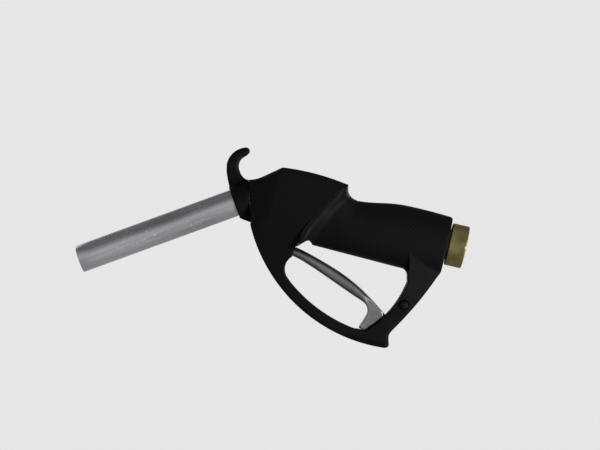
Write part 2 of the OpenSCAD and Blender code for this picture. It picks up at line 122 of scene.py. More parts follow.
def arc(centre, r, start, end, step=1.2):
    """Points on an arc between two angles in degrees, about step apart."""
    count = max(2, int(abs(math.radians(end - start)) * r / step) + 1)
    turns = np.radians(np.linspace(start, end, count + 1))
    return np.array(centre) + r * np.stack([np.cos(turns), np.sin(turns)], 1)


def curve(points, step=1.2):
    """A smooth line through the points, about step apart."""
    p = np.array(points, float)
    p = np.vstack([2 * p[0] - p[1], p, 2 * p[-1] - p[-2]])
    out = []
    for a, b, c, d in zip(p[:-3], p[1:-2], p[2:-1], p[3:]):
        count = max(1, int(np.linalg.norm(c - b) / step))
        t = (np.arange(count) / count)[:, None]
        out.append(
            0.5 * (2 * b + (c - a) * t + (2 * a - 5 * b + 4 * c - d) * t**2 + (3 * b - a - 3 * c + d) * t**3)
        )
    out.append(p[-2][None])
    return np.vstack(out)


def straight(points, step=1.2):
    """A line with corners through the points, with extra points about step apart."""
    p = np.array(points, float)
    out = []
    for a, b in zip(p[:-1], p[1:]):
        count = max(1, int(np.linalg.norm(b - a) / step))
        out.append(a + (b - a) * (np.arange(count) / count)[:, None])
    out.append(p[-1][None])
    return np.vstack(out)


def joined(*runs):
    """Runs of points one after the other, without doubled points, as a closed outline."""
    points = np.vstack(runs)
    step = np.linalg.norm(points - np.roll(points, 1, 0), axis=1)
    return points[step > SAME_POINT]


def circle(centre, r, count=40):
    turns = np.linspace(0, 2 * math.pi, count, endpoint=False)
    return np.array(centre) + r * np.stack([np.cos(turns), np.sin(turns)], 1)


BOW_CENTRE = (-64.3, 42.4)
BOW_OUTER_R = 150.5
BOW_INNER_R = 140.1
LEG_CENTRE = (-132, -30.4)
GROOVE_TOP = np.array([-210.2, 16.1])
GROOVE_BOTTOM = np.array([-198.9, -21.6])

# Each run of the covers' outer edge, with how its edge is worked:
# width of the worked band in the side view, its depth in y, and 1 for a flat chamfer or 2 for a round.
EDGE_RUNS = [
    (curve([GROOVE_TOP, [-204, 18.3], [-199, 21.3], [-194, 25.1], [-189, 28.9], [-183, 33.6]]), 5.5, 8, 1.5),
    (arc((-158, -184.4), 220, 96.1, 80.3), 4.2, 6.5, 1),
    (straight([[-119.6, 32.6], [-118.9, 31.4]]), 2.4, 3, 2),
    (arc((-108, 31.1), 10.8, 182, 264), 2.4, 3, 2),
    (curve([
        [-107, 19.9], [-98, 20.8], [-88, 22.5], [-80, 24], [-70, 25.4], [-58, 26], [-38, 25.8], [-20.6, 25],
    ]), 0.6, 1.2, 2),
    (arc((-20, 22.4), 2.5, 80, 5, 0.6), 1.6, 1.6, 2),
    (straight([[-17.4, 21], [-17.4, -26.5], [-18.2, -29.5]]), 1.6, 1.6, 2),
    (arc((-315.3, 82), 317, -21.3, -32.9), 3, 3, 2),
    (curve([[-49.6, -91], [-50.9, -94.2], [-50.9, -97.4], [-49.7, -101.5]]), 3, 3, 2),
    (curve([[-49.1, -103.6], [-49.6, -105.8], [-51.4, -107.2], [-53.6, -107.5]], 0.6), 2.6, 2.6, 1.3),
    (arc(BOW_CENTRE, BOW_OUTER_R, -85.5, -100), 4.6, 4.2, 1.1),
    (arc(BOW_CENTRE, BOW_OUTER_R, -100, -153)[1:], 2.6, 3, 1.1),
    (straight([[-199.6, -23.2], GROOVE_BOTTOM]), 1.6, 2, 2),
    (straight([GROOVE_BOTTOM, GROOVE_TOP])[1:-1], 1.2, 1.2, 2),
]

GUARD_OPENING = joined(
    straight([[-57, -31.9], [-139, -29.6]])[1:],
    curve([
        [-139, -29.6], [-141, -27.4], [-143, -26.2], [-145.2, -27], [-151.8, -33.2], [-154.2, -34.8],
    ])[1:],
    straight([[-154.2, -34.8], [-155.3, -43.8]])[1:-1],
    arc((-145.5, -54.2), 13.7, 134, 222),
    arc(BOW_CENTRE, BOW_INNER_R, -128.6, -98.2),
    curve([[-82.6, -96.2], [-80.4, -95.9], [-74, -95.8], [-71.6, -94.4], [-70.7, -92.9]], 0.8),
    arc(LEG_CENTRE, 87.4, -45.2, -8),
    arc((-53.5, -38.9), 7, 0, 88),
)

# The ridge where the head ends and the grip begins, from the top down.
RIDGE = curve([
    [-129, 23.6], [-131, 19.6], [-136, 12.1], [-139.5, 6.6], [-142.5, -0.4], [-145, -5.4],
    [-148, -11.4], [-150.3, -17.4], [-151.2, -22.4], [-152.2, -27.4], [-154.4, -34],
])
RIDGE_TOP = straight([[-129, 23.6], [-124, 31]])
LEG_EDGE = curve([[-50.5, -16.9], [-49.4, -20], [-48, -23.4], [-46.6, -29.4], [-46.1, -37], [-46.4, -44]])

LEVER_CHANNEL = straight([
    [-186, -46.5], [-186, -27], [-143, -22.8], [-141, -25], [-149, -34], [-152, -46.5], [-186, -46.5],
])[:-1]


def sector(r0, r1, start, end):
    """A piece of a ring about the lever's pivot."""
    return joined(arc(PIVOT, r0, start, end), arc(PIVOT, r1, end, start))


LEG_SLOT = sector(117, 134.2, -24.2, -4.6)
TONGUE = sector(117, 133.5, -22.9, -18.7)

LEVER_OUTLINE = joined(
    curve([
        [-166, -36], [-161, -35.1], [-154, -35], [-145, -36.7], [-133, -40], [-121, -43.7],
        [-109, -47.9], [-97, -53], [-85, -59.2], [-72, -67.6], [-60.4, -75.9],
    ]),
    arc(LEG_CENTRE, 87, -33.3, -45.4),
    curve([[-71.7, -94], [-73.4, -95.2], [-77.6, -95.4], [-79.6, -94.6]], 0.8),
    curve([
        [-80, -93.6], [-77.1, -86], [-75.4, -80], [-75.6, -76.6], [-77.6, -73], [-81.4, -70.4],
        [-91, -66.8], [-103, -62.1], [-115, -57.3], [-127, -52.5], [-139, -48], [-149, -44.8],
        [-156, -43.5], [-168, -43.1], [-176, -43.1],
    ]),
    arc(PIVOT, PIVOT_BOSS_R, -95, -300),
)

HOOK_OUTLINE = joined(
    curve([[-220, 0], [-225.3, 3.4], [-226.2, 5.6], [-228.6, 10.4], [-231.9, 18.4], [-233.3, 24.6]], 0.8),
    arc((-214, 26.3), 19.5, 182, 108, 0.8),
    arc((-218.7, 41.65), 3.5, 96, -48, 0.5),
    arc((-212, 28.6), 10.3, 120, 222, 0.8),
    curve([[-219.4, 20.6], [-215.5, 17.2], [-211.8, 15.95], [-210.5, 15.8]], 0.8),
    straight([[-210.4, 15.6], [-206.2, 1]]),
)


# ---------- plate meshes: a side view with a half thickness at each point ----------

# How far inside an edge the rows of extra points lie, and how far other points stay from a drawn line.
RING_DEPTHS = (0.06, 0.16, 0.35, 0.6, 0.95, 1.4, 1.9, 2.5, 3.2, 4.0, 5.0, 6.3)
LINE_GAP = 0.3


def inside(points, outline):
    """Whether each point lies in a closed outline."""
    x, z = points[:, 0, None], points[:, 1, None]
    a, b = outline, np.roll(outline, -1, 0)
    crosses = (a[:, 1] > z) != (b[:, 1] > z)
    rise = np.where(b[:, 1] == a[:, 1], 1e-9, b[:, 1] - a[:, 1])
    return ((crosses & (x < (b[:, 0] - a[:, 0]) * (z - a[:, 1]) / rise + a[:, 0])).sum(1) % 2).astype(bool)


def distance(points, outline, closed=True):
    """Distance from each point to a line, and the index of the line's nearest stretch."""
    a = outline if closed else outline[:-1]
    b = np.roll(outline, -1, 0) if closed else outline[1:]
    best = np.full(len(points), 1e9)
    nearest = np.zeros(len(points), int)
    along = b - a
    length2 = (along**2).sum(1)
    for start in range(0, len(points), 2000):
        p = points[start:start + 2000, None, :] - a
        t = np.clip((p * along).sum(2) / length2, 0, 1)
        gap = np.linalg.norm(p - t[..., None] * along, axis=2)
        nearest[start:start + 2000] = gap.argmin(1)
        best[start:start + 2000] = gap.min(1)
    return best, nearest


def offset_points(outline, depths, inward):
    """Points at each depth beside a closed outline. The sign of inward picks the side."""
    tangent = np.roll(outline, -1, 0) - np.roll(outline, 1, 0)
    tangent /= np.linalg.norm(tangent, axis=1)[:, None]
    normal = np.stack([-tangent[:, 1], tangent[:, 0]], 1) * inward
    return np.vstack([outline + normal * depth for depth in depths])


def winding(outline):
    """1 for an outline that runs against the clock and -1 for one that runs with it."""
    x, z = outline.T
    return 1 if (x * np.roll(z, -1) - np.roll(x, -1) * z).sum() > 0 else -1


def triangulate(outer, holes, lines, spacing):
    """Triangles over a side view, closely spaced along its edges and along the given lines."""
    borders = [outer, *holes]
    low, high = outer.min(0), outer.max(0)
    gx, gz = np.meshgrid(np.arange(low[0], high[0], spacing), np.arange(low[1], high[1], spacing * 0.87))
    gx[1::2] += spacing / 2
    grid = np.stack([gx.ravel(), gz.ravel()], 1)
    rings = [offset_points(outer, RING_DEPTHS, winding(outer))]
    rings += [offset_points(hole, RING_DEPTHS, -winding(hole)) for hole in holes]
    loose = np.vstack([grid, *rings])
    depth = np.vstack([distance(loose, b)[0] for b in borders]).min(0)
    wanted = np.full(len(loose), RING_DEPTHS[-1] + spacing * 0.4)
    start = len(grid)
    for border in borders:
        for ring_depth in RING_DEPTHS:
            wanted[start:start + len(border)] = ring_depth * 0.97
            start += len(border)
    keep = depth >= wanted
    for line, closed in lines:
        keep &= distance(loose, line, closed)[0] > LINE_GAP
    keep &= inside(loose, outer)
    for hole in holes:
        keep &= ~inside(loose, hole)
    points = [outer, *holes]
    edges = []
    count = 0
    for border in borders:
        ids = np.arange(len(border)) + count
        edges += list(zip(ids.tolist(), np.roll(ids, -1).tolist()))
        count += len(border)
    for line, closed in lines:
        ids = (np.arange(len(line)) + count).tolist()
        edges += list(zip(ids[:-1], ids[1:]))
        if closed:
            edges.append((ids[-1], ids[0]))
        points.append(line)
        count += len(line)
    points.append(loose[keep])
    every = np.vstack(points)
    corners, _, pieces, *_ = delaunay_2d_cdt([Vector(p) for p in every.tolist()], edges, [], 0, 1e-5)
    flat = np.array([list(corner) for corner in corners])
    triangles = np.array([piece for piece in pieces if len(piece) == 3])
    middle = flat[triangles].mean(1)
    keep = inside(middle, outer)
    for hole in holes:
        keep &= ~inside(middle, hole)
    return flat, triangles[keep]


def add_mesh(name, vertices, faces, material, sharp=32):
    """Adds a mesh given in millimetres. Edges bent by more than sharp degrees stay crisp."""
    mesh = bpy.data.meshes.new(name)
    mesh.from_pydata((np.array(vertices) * MM).tolist(), [], faces)
    mesh.validate()
    mesh.materials.append(material)
    obj = bpy.data.objects.new(name, mesh)
    bpy.context.scene.collection.objects.link(obj)
    mesh.shade_smooth()
    mesh.set_sharp_from_angle(angle=math.radians(sharp))
    return obj


def plate(name, flat, triangles, near, far, material, sharp=32):
    """A closed mesh between y = near and y = far, given at each point of a triangulated side view."""
    count = len(flat)
    vertices = np.vstack([
        np.stack([flat[:, 0], near, flat[:, 1]], 1),
        np.stack([flat[:, 0], far, flat[:, 1]], 1),
    ])
    faces = [tuple(t) for t in triangles.tolist()]
    faces += [tuple(c + count for c in reversed(t)) for t in triangles.tolist()]
    directed = set()
    for a, b, c in triangles.tolist():
        directed.update([(a, b), (b, c), (c, a)])
    faces += [(b, a, a + count, b + count) for a, b in directed if (b, a) not in directed]
    return add_mesh(name, vertices, faces, material, sharp)


# ---------- thickness of the covers ----------

GRIP_TOP = np.array([
    [-160, 40], [-128, 38], [-120, 31], [-114, 24.5], [-108, 20.6], [-98, 20.9],
    [-88, 22.5], [-80, 24], [-70, 25.4], [-58, 26], [-38, 25.8], [-20, 25],
])
GRIP_LOW = np.array([[-152, -29.4], [-139, -29.6], [-57, -31.9], [-17, -32.4]])
GRIP_POWER = 2.35
NOSE_WIDTHS = np.array([[-216, 16.4], [-207, 16.4], [-184, 24.3], [-170, HEAD_HALF]])
RIDGE_END_Z = 23.6
RIDGE_CORNER = np.array([[RIDGE_END_Z, -129], [31, -124], [40, -118]])
WALL_SHARE = 0.06
WALL_WIDTH = 1.0
SCOOP_START = 3.2
SCOOP_WIDTH = 12.0
BOW_TOP_Z = -45.0
BOW_FRONT_X = -140.0
LEG_TOP_Z = -16.0
ON_LINE = 0.02


def smooth(t):
    """0 to 1 with a soft start and end."""
    t = np.clip(t, 0, 1)
    return t * t * (3 - 2 * t)


def worked_edge(depth, width, drop, power):
    """How far an edge treatment lowers the surface at a depth inside the edge."""
    t = np.clip(1 - depth / width, 0, 1)
    return drop * (1 - np.power(np.maximum(1 - np.power(t, power), 0), 1 / power))


def soft_min(a, b, blend):
    """The smaller value, with a rounded change from one to the other."""
    return -blend * np.logaddexp(-a / blend, -b / blend)


def head_half(x, z):
    """The head narrows to the front in plan, and down to the guard bow in section."""
    plan = np.interp(x, *NOSE_WIDTHS.T)
    section = GUARD_HALF + (HEAD_HALF - GUARD_HALF) * smooth((z + 71) / 72)
    return soft_min(plan, section, 1.0)


def grip_low(x):
    """Height of the grip's underside."""
    return np.interp(x, *GRIP_LOW.T)


def grip_half(x, z):
    """The grip's oval section, between the top of the outline and the line of its underside."""
    top = np.interp(x, *GRIP_TOP.T)
    low = grip_low(x)
    middle, reach = (top + low) / 2, (top - low) / 2
    u = np.clip(np.abs(z - middle) / reach, 0, 1)
    return GRIP_HALF * np.power(1 - np.power(u, GRIP_POWER), 1 / GRIP_POWER)


def guard_half(x, z):
    """The bow's thickness, and the rear leg's side plate that widens up towards the grip."""
    leg = 13.4 - 0.1431 * x + 0.1045 * z
    share = smooth((z + 80) / 26) * smooth((x + 76) / 14)
    return GUARD_HALF + (leg - GUARD_HALF) * share


def cover_half(flat, depth, width, drop, power):
    """Half thickness of the covers' outside at each point of the side view."""
    x, z = flat.T
    ridge_x = np.interp(z, RIDGE[::-1, 1], RIDGE[::-1, 0])
    ridge_x = np.where(z > RIDGE_END_Z, np.interp(z, *RIDGE_CORNER.T), ridge_x)
    behind = x - ridge_x
    head = head_half(x, z)
    grip = grip_half(x, z)
    guard = guard_half(x, z)
    wall = WALL_SHARE * (1 - smooth(behind / WALL_WIDTH))
    hollow = (1 - WALL_SHARE) * (1 - smooth((behind - SCOOP_START) / SCOOP_WIDTH))
    scoop = grip + (HEAD_HALF - grip) * (wall + hollow)
    upper = np.where(behind <= ON_LINE, head, np.minimum(scoop, HEAD_HALF))
    leg_x = np.interp(z, LEG_EDGE[::-1, 1], LEG_EDGE[::-1, 0])
    on_leg = (x > leg_x - ON_LINE) & (z > BOW_TOP_Z)
    upper = np.where(on_leg & (z < LEG_TOP_Z), np.maximum(upper, guard), upper)
    below = (z < grip_low(x) - 0.6) & (x > GRIP_LOW[0, 0]) & ~on_leg
    half = np.where(below, guard, upper)
    half = np.where(behind <= ON_LINE, head, half)
    bow = np.where(x < BOW_FRONT_X, np.maximum(head, GUARD_HALF), guard)
    half = np.where(z < BOW_TOP_Z, bow, half)
    worked = worked_edge(depth, width, np.minimum(drop, half - 0.4), power)
    return np.maximum(half - worked, 0.3)


# ---------- materials ----------

def new_material(name):
    """A material with its nodes, its links and its shader node."""
    material = bpy.data.materials.new(name)
    material.use_nodes = True
    nodes = material.node_tree.nodes
    return material, nodes, material.node_tree.links, nodes["Principled BSDF"]


def noise(nodes, links, scale, detail=4.0, stretch=(1, 1, 1), roughness=0.5):
    """Procedural noise in the object's own coordinates, in features per metre."""
    coordinates = nodes.new("ShaderNodeTexCoord")
    mapping = nodes.new("ShaderNodeMapping")
    mapping.inputs["Scale"].default_value = stretch
    texture = nodes.new("ShaderNodeTexNoise")
    texture.inputs["Scale"].default_value = scale
    texture.inputs["Detail"].default_value = detail
    texture.inputs["Roughness"].default_value = roughness
    links.new(coordinates.outputs["Object"], mapping.inputs["Vector"])
    links.new(mapping.outputs["Vector"], texture.inputs["Vector"])
    return texture.outputs["Fac"], mapping


def spread(nodes, links, value, low, high, start=0.3, end=0.7):
    """Maps a noise value to a range."""
    node = nodes.new("ShaderNodeMapRange")
    node.inputs["From Min"].default_value = start
    node.inputs["From Max"].default_value = end
    node.inputs["To Min"].default_value = low
    node.inputs["To Max"].default_value = high
    links.new(value, node.inputs["Value"])
    return node.outputs["Result"]


def mixed(nodes, links, factor, first, second):
    """A colour between two colours or colour sockets."""
    node = nodes.new("ShaderNodeMix")
    node.data_type = "RGBA"
    links.new(factor, node.inputs["Factor"])
    for socket, value in ((node.inputs[6], first), (node.inputs[7], second)):
        if isinstance(value, tuple):
            socket.default_value = (*value, 1)
        else:
            links.new(value, socket)
    return node.outputs[2]


def bump(nodes, links, shader, layers):
    """Stacks bump layers, each (height, strength, distance in metres)."""
    last = None
    for height, strength, reach in layers:
        node = nodes.new("ShaderNodeBump")
        node.inputs["Strength"].default_value = strength
        node.inputs["Distance"].default_value = reach
        links.new(height, node.inputs["Height"])
        if last is not None:
            links.new(last, node.inputs["Normal"])
        last = node.outputs["Normal"]
    links.new(last, shader.inputs["Normal"])


def product(nodes, links, values):
    """All the values multiplied together."""
    result = values[0]
    for value in values[1:]:
        node = nodes.new("ShaderNodeMath")
        node.operation = "MULTIPLY"
        links.new(result, node.inputs[0])
        links.new(value, node.inputs[1])
        result = node.outputs[0]
    return result


def edge_wear(nodes, links, start, end):
    """1 on sharp outer edges and 0 elsewhere, broken up by noise."""
    geometry = nodes.new("ShaderNodeNewGeometry")
    edge = spread(nodes, links, geometry.outputs["Pointiness"], 0, 1, start, end)
    speckle, _ = noise(nodes, links, 240, 3)
    broken = spread(nodes, links, speckle, 0, 1, 0.42, 0.62)
    return product(nodes, links, [edge, broken])


def grip_ribs(nodes, links):
    """Height of the fine slanted ribs on the upper half of the grip, fading out at their borders (metres)."""
    coordinates = nodes.new("ShaderNodeTexCoord")
    split = nodes.new("ShaderNodeSeparateXYZ")
    links.new(coordinates.outputs["Object"], split.inputs["Vector"])
    mapping = nodes.new("ShaderNodeMapping")
    mapping.inputs["Rotation"].default_value = (0, math.radians(-32), 0)
    links.new(coordinates.outputs["Object"], mapping.inputs["Vector"])
    wave = nodes.new("ShaderNodeTexWave")
    wave.inputs["Scale"].default_value = 105
    wave.inputs["Distortion"].default_value = 0
    links.new(mapping.outputs["Vector"], wave.inputs["Vector"])
    x, z = split.outputs["X"], split.outputs["Z"]
    return product(nodes, links, [
        wave.outputs["Fac"],
        spread(nodes, links, x, 0, 1, -0.112, -0.102),
        spread(nodes, links, x, 1, 0, -0.032, -0.026),
        spread(nodes, links, z, 0, 1, -0.006, 0.0),
        spread(nodes, links, z, 1, 0, 0.0145, 0.0185),
    ])


def plastic(name, colour, worn, rough=(0.5, 0.64), grain=0.25, ribbed=False):
    """Matt moulded plastic with a fine grain, a few scuffs and paler worn edges."""
    material, nodes, links, shader = new_material(name)
    cloud, _ = noise(nodes, links, 30, 4)
    grain_height, _ = noise(nodes, links, 1500, 2)
    scuff, mapping = noise(nodes, links, 60, 6, (1, 6, 9))
    mapping.inputs["Rotation"].default_value = (0.3, 0.9, 0.2)
    wear = edge_wear(nodes, links, 0.56, 0.66)
    base = mixed(nodes, links, wear, colour, worn)
    links.new(base, shader.inputs["Base Color"])
    patch = spread(nodes, links, cloud, rough[0], rough[1])
    links.new(patch, shader.inputs["Roughness"])
    shader.inputs["Specular IOR Level"].default_value = 0.06
    layers = [
        (grain_height, grain, 0.00004),
        (spread(nodes, links, scuff, 0, 1, 0.62, 0.72), 0.12, 0.00006),
    ]
    if ribbed:
        layers.insert(0, (grip_ribs(nodes, links), 0.22, 0.0003))
    bump(nodes, links, shader, layers)
    return material


def metal(name, colour, second, rough, stretch, scale, scratch=0.25):
    """A metal with tone clouds and fine scratches drawn out by stretch."""
    material, nodes, links, shader = new_material(name)
    cloud, _ = noise(nodes, links, 45, 5)
    lines, _ = noise(nodes, links, scale, 6, stretch, 0.7)
    fine, _ = noise(nodes, links, scale * 7, 3, stretch, 0.6)
    tone = spread(nodes, links, cloud, 0, 1, 0.36, 0.64)
    links.new(mixed(nodes, links, tone, colour, second), shader.inputs["Base Color"])
    shader.inputs["Metallic"].default_value = 1.0
    links.new(spread(nodes, links, lines, rough[0], rough[1]), shader.inputs["Roughness"])
    bump(nodes, links, shader, [(lines, scratch, 0.00005), (fine, scratch, 0.00003)])
    return material


def rubber_material():
    """Black seal rubber, a little dusty."""
    material, nodes, links, shader = new_material("rubber")
    cloud, _ = noise(nodes, links, 300, 4)
    links.new(spread(nodes, links, cloud, 0.55, 0.75), shader.inputs["Roughness"])
    colour = mixed(nodes, links, cloud, (0.012, 0.012, 0.012), (0.03, 0.03, 0.03))
    links.new(colour, shader.inputs["Base Color"])
    bump(nodes, links, shader, [(cloud, 0.2, 0.00004)])
    return material


def brass_material():
    """Turned brass, dulled to olive by handling and brighter on its edges."""
    material, nodes, links, shader = new_material("brass")
    cloud, _ = noise(nodes, links, 95, 5)
    blotch, _ = noise(nodes, links, 260, 4)
    turned, _ = noise(nodes, links, 1400, 3, (1, 0.02, 0.02))
    tone = spread(nodes, links, cloud, 0, 1, 0.35, 0.65)
    body = mixed(nodes, links, tone, (0.085, 0.074, 0.022), (0.115, 0.099, 0.036))
    stain = spread(nodes, links, blotch, 0, 0.6, 0.5, 0.72)
    stained = mixed(nodes, links, stain, body, (0.085, 0.075, 0.022))
    wear = edge_wear(nodes, links, 0.53, 0.6)
    links.new(mixed(nodes, links, wear, stained, (0.34, 0.29, 0.13)), shader.inputs["Base Color"])
    shader.inputs["Metallic"].default_value = 0.75
    links.new(spread(nodes, links, cloud, 0.42, 0.56), shader.inputs["Roughness"])
    bump(nodes, links, shader, [(turned, 0.25, 0.00005), (blotch, 0.15, 0.0001)])
    return material


def spout_material():
    """Drawn aluminium: streaks along the spout's slope and small bright nicks."""
    material, nodes, links, shader = new_material("drawn_aluminium")
    streak, streak_turn = noise(nodes, links, 400, 5, (25, 1, 1), 0.65)
    wide, wide_turn = noise(nodes, links, 60, 4, (6, 1, 1))
    scratch, scratch_turn = noise(nodes, links, 900, 2, (40, 1, 1), 0.8)
    for mapping in (streak_turn, wide_turn, scratch_turn):
        mapping.vector_type = "TEXTURE"
        mapping.inputs["Rotation"].default_value = (0, -SPOUT_SLOPE, 0)
    nick, _ = noise(nodes, links, 700, 3)
    patch, _ = noise(nodes, links, 30, 3)
    nicks = product(nodes, links, [
        spread(nodes, links, nick, 0, 1, 0.58, 0.7),
        spread(nodes, links, patch, 0, 1, 0.48, 0.6),
    ])
    tone = spread(nodes, links, wide, 0, 1, 0.35, 0.65)
    drawn = mixed(nodes, links, tone, (0.3, 0.297, 0.312), (0.43, 0.425, 0.447))
    links.new(mixed(nodes, links, nicks, drawn, (0.62, 0.62, 0.65)), shader.inputs["Base Color"])
    shader.inputs["Metallic"].default_value = 1.0
    links.new(spread(nodes, links, streak, 0.2, 0.38), shader.inputs["Roughness"])
    layers = [(streak, 0.18, 0.00006), (scratch, 0.12, 0.00003), (nicks, 0.4, 0.0001)]
    bump(nodes, links, shader, layers)
    return material


black_plastic = plastic("black_plastic", (0.0013, 0.0013, 0.0013), (0.024, 0.024, 0.023), ribbed=True)
hook_plastic = plastic("hook_plastic", (0.0014, 0.0014, 0.0013), (0.028, 0.028, 0.027), grain=0.4)
cast_aluminium = metal("cast_aluminium", (0.5, 0.5, 0.52), (0.38, 0.38, 0.4), (0.45, 0.62), (1, 1, 1), 400)
lever_metal = metal("lever_metal", (0.13, 0.13, 0.13), (0.19, 0.19, 0.187), (0.28, 0.4), (1, 2, 2), 120, 0.05)
steel = metal("steel", (0.27, 0.27, 0.28), (0.36, 0.36, 0.37), (0.3, 0.45), (1, 1, 1), 300, 0.2)
spring_steel = metal("spring_steel", (0.32, 0.32, 0.34), (0.42, 0.42, 0.44), (0.25, 0.4), (1, 1, 4), 500, 0.2)
rubber = rubber_material()
brass = brass_material()
drawn_aluminium = spout_material()


# ---------- covers ----------

def cover_edges():
    """The covers' outer edge with its edge treatment at each point."""
    points = []
    work = []
    for run, width, drop, power in EDGE_RUNS:
        points.append(run)
        work.append(np.tile([width, drop, power], (len(run), 1)))
    points, work = np.vstack(points), np.vstack(work)
    keep = np.linalg.norm(points - np.roll(points, 1, 0), axis=1) > SAME_POINT
    points, work = points[keep], work[keep]
    for _ in range(3):
        work = (np.roll(work, 1, 0) + 2 * work + np.roll(work, -1, 0)) / 4
    return points, work


COVER_OUTLINE, COVER_WORK = cover_edges()
OPENING_WORK = (1.3, 1.6, 2.0)


def clipped(line, closed):
    """The part of a line that lies on the cover. A line that is cut short is no longer closed."""
    on = inside(line, COVER_OUTLINE) & ~inside(line, GUARD_OPENING)
    on &= distance(line, COVER_OUTLINE)[0] > 0.35
    on &= distance(line, GUARD_OPENING)[0] > 0.35
    if on.all():
        return line, closed
    start = int(np.argmax(~on)) if closed else 0
    line, on = np.roll(line, -start, 0), np.roll(on, -start, 0)
    first = int(np.argmax(on))
    last = first + int(np.argmin(on[first:])) if not on[first:].all() else len(on)
    return line[first:last], False


def build_cover(name, node, side):
    """One cover. side is -1 for the left one, which carries the latch, and 1 for the right one."""
    holes = [GUARD_OPENING] + ([circle(LATCH_AT, LATCH_BORE_R, 24)] if side < 0 else [])
    lines = [(RIDGE + [step, 0.0], False) for step in (0, 0.5, WALL_WIDTH, 2, 4, 6, 8, 10)]
    lines += [
        (RIDGE_TOP, False),
        (LEG_EDGE, False),
        (LEG_EDGE + [-1.0, 0.0], False),
        (LEVER_CHANNEL, True),
        (LEG_SLOT, True),
    ]
    if side < 0:
        lines += [(circle(LATCH_AT, r), True) for r in (LATCH_POCKET_R, LATCH_POCKET_R + 0.25)]
    else:
        lines += [(circle(at, SCREW_RECESS_R + step), True) for at in SCREW_AT for step in (-0.1, 0.15, 0.6)]
    lines = [clipped(line, closed) for line, closed in lines]
    flat, triangles = triangulate(COVER_OUTLINE, holes, lines, 2.2)
    outer_depth, nearest = distance(flat, COVER_OUTLINE)
    opening_depth, _ = distance(flat, GUARD_OPENING)
    width, drop, power = COVER_WORK[nearest].T
    half = cover_half(flat, outer_depth, width, drop, power)
    half = half - worked_edge(opening_depth, *OPENING_WORK) * (half > 3)
    inner = np.full(len(flat), SEAM)
    hollow = (np.minimum(outer_depth, opening_depth) > HOLLOW_DEPTH) & (flat[:, 1] > -56)
    hollow &= (flat[:, 0] < -158) | (flat[:, 1] > -26)
    inner = np.where(hollow, np.maximum(half - WALL, SEAM), inner)
    in_channel = inside(flat, LEVER_CHANNEL) & (outer_depth > HOLLOW_DEPTH)
    inner = np.where(in_channel, np.maximum(inner, LEVER_HALF + LEVER_CLEARANCE), inner)
    inner = np.where(inside(flat, LEG_SLOT), SLOT_HALF, inner)
    from_latch = np.linalg.norm(flat - LATCH_AT, axis=1)
    in_pocket = from_latch < LATCH_POCKET_R + 0.05
    if side < 0:
        inner = np.where(in_pocket, LATCH_FLOOR_Y, inner)
        half = np.where(in_pocket, LATCH_POCKET_Y, half)
    else:
        inner = np.where(in_pocket, LATCH_SOCKET_Y, inner)
        for at in SCREW_AT:
            gap = np.linalg.norm(flat - at, axis=1)
            recess_rim = (gap >= SCREW_RECESS_R) & (gap < SCREW_RECESS_R + 0.3)
            half = np.where(gap < SCREW_RECESS_R, SCREW_SEAT_Y, half)
            half = np.where(recess_rim, half - 0.5, half)
            inner = np.where(gap < SCREW_RECESS_R + 1.2, SEAM, inner)
    half = np.maximum(half, inner + 0.25)
    near, far = (-half, -inner) if side < 0 else (inner, half)
    cover = plate(name, flat, triangles, near, far, black_plastic, 28)
    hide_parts(node)
    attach(cover, "nozzle")


build_cover("left_cover", "cover_left", -1)
build_cover("right_cover", "cover_right", 1)


# ---------- lever and hook ----------

def build_lever():
    """The lever, rounded along its bar and flatter on its foot, and the tongue that the latch stops."""
    flat, triangles = triangulate(LEVER_OUTLINE, [circle(PIVOT, PIVOT_HOLE_R, 32)], [], 1.6)
    depth, _ = distance(flat, LEVER_OUTLINE)
    foot = smooth((flat[:, 0] + 84) / 8) * smooth((-62 - flat[:, 1]) / 6)
    width = 4.6 - 3.2 * foot
    drop = 5.6 - 4.4 * foot
    half = LEVER_HALF - worked_edge(depth, width, drop, 2.0) - 1.2 * foot
    lever = plate("lever_trigger", flat, triangles, -half, half, lever_metal, 40)
    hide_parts("lever")
    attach(lever, "lever")
    tongue_flat, tongue_triangles = triangulate(TONGUE, [], [], 2.5)
    tongue_depth, _ = distance(tongue_flat, TONGUE)
    tongue_half = TONGUE_HALF - worked_edge(tongue_depth, 0.6, 0.6, 1.5)
    tongue = plate("lever_tongue", tongue_flat, tongue_triangles, -tongue_half, tongue_half, lever_metal)
    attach(tongue, "lever")


def build_hook():
    """The hanging hook, which thickens towards its root on the collar."""
    flat, triangles = triangulate(HOOK_OUTLINE, [], [], 1.4)
    depth, _ = distance(flat, HOOK_OUTLINE)
    root = smooth((14 - flat[:, 1]) / 12)
    half = HOOK_HALF + HOOK_ROOT_EXTRA * root - worked_edge(depth, 3.3, 3.0, 2.0)
    hook = plate("hook_blade", flat, triangles, -half, half, hook_plastic)
    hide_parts("hook_collar")
    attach(hook, "nozzle")


def spout_point(s, r, turn):
    """A point round the spout's axis: distance along it, radius and turn from its upper side."""
    up = r * math.cos(turn)
    side = SPOUT_ZERO + SPOUT_OUT * s + SPOUT_UP * up
    return (side[0], r * math.sin(turn), side[1])


def skin(ring_count, segments, start, closed):
    """Quads between rings of points, and from the last ring to the first when closed."""
    faces = []
    for i in range(ring_count if closed else ring_count - 1):
        a, b = start + i * segments, start + (i + 1) % ring_count * segments
        for j in range(segments):
            k = (j + 1) % segments
            faces.append((a + j, a + k, b + k, b + j))
    return faces


def lathe(name, rings, segments, place, material, sharp=32, closed=False):
    """Skins rings of points. place(ring, turn) gives a point."""
    turns = [2 * math.pi * i / segments for i in range(segments)]
    vertices = [place(ring, turn) for ring in rings for turn in turns]
    return add_mesh(name, vertices, skin(len(rings), segments, 0, closed), material, sharp)


